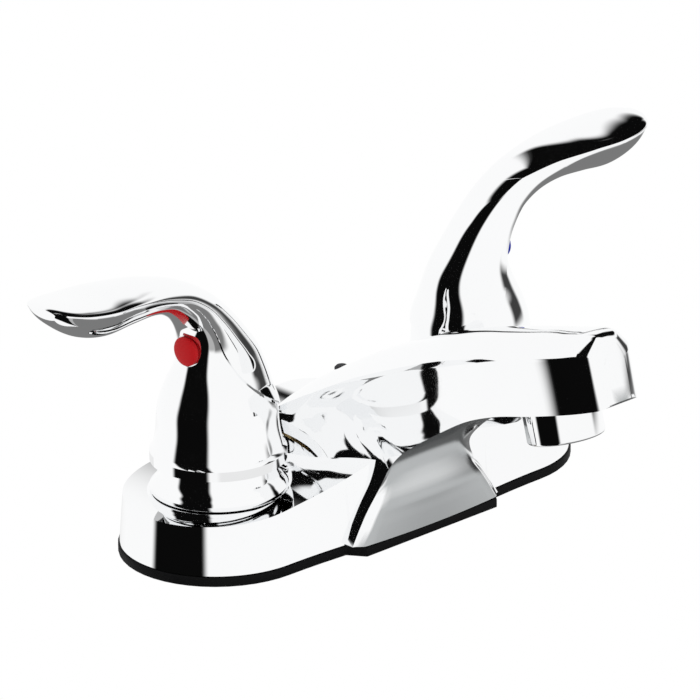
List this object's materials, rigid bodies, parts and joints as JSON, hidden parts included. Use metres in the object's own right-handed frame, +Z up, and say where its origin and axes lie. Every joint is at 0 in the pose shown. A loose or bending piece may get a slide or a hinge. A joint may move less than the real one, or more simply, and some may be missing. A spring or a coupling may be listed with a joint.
{
  "type": "basin mixer tap",
  "caption": "Chromed basin mixer tap with a long rounded deck, a low forward spout, curved lever handles on bell-shaped hoods and threaded inlets below.",
  "frame": {"origin": "middle of the gasket's underside, where the tap stands on the basin, midway between the handle axes", "axes": "+X from the hot handle to the cold handle, the spout reaches towards -Y, +Z up"},
  "size_m": [0.2378, 0.1438, 0.1415],
  "materials": {
    "chrome": "polished chrome plate",
    "gasket_rubber": "matt black rubber",
    "seal_rubber": "black rubber",
    "brass": "turned brass",
    "copper": "drawn copper",
    "ceramic": "lapped alumina",
    "stainless": "stainless steel",
    "black_plastic": "moulded black plastic",
    "white_plastic": "moulded white plastic",
    "hot_index": "gloss red plastic",
    "cold_index": "gloss blue plastic"
  },
  "bodies": {
    "tap_body": {"body_casting": "chrome", "aerator_housing": "chrome", "hot_escutcheon_ring": "chrome", "cold_escutcheon_ring": "chrome", "base_gasket": "gasket_rubber", "hot_shank_washer": "gasket_rubber", "cold_shank_washer": "gasket_rubber", "aerator_washer": "seal_rubber", "hot_seat_seal": "seal_rubber", "cold_seat_seal": "seal_rubber", "waterway_manifold": "brass", "hot_inlet_shank": "brass", "cold_inlet_shank": "brass", "hot_cartridge_body": "brass", "cold_cartridge_body": "brass", "hot_bonnet_nut": "brass", "cold_bonnet_nut": "brass", "spout_tube": "copper", "hot_ceramic_disc_lower": "ceramic", "cold_ceramic_disc_lower": "ceramic", "hot_shank_nut": "black_plastic", "cold_shank_nut": "black_plastic", "rod_hole_plug": "black_plastic", "aerator_insert": "white_plastic"},
    "hot_lever": {"hot_handle": "chrome", "hot_index_button": "hot_index", "hot_handle_screw": "stainless", "hot_cartridge_stem": "brass", "hot_ceramic_disc_upper": "ceramic"},
    "cold_lever": {"cold_handle": "chrome", "cold_index_button": "cold_index", "cold_handle_screw": "stainless", "cold_cartridge_stem": "brass", "cold_ceramic_disc_upper": "ceramic"}
  },
  "joints": [
    {"name": "hot_turn", "type": "hinge", "parent": "tap_body", "child": "hot_lever", "pos_m": [-0.051, 0, 0.03], "axis": [0, 0, 1], "range_deg": [0, 90]},
    {"name": "cold_turn", "type": "hinge", "parent": "tap_body", "child": "cold_lever", "pos_m": [0.051, 0, 0.03], "axis": [0, 0, 1], "range_deg": [-90, 0]}
  ]
}
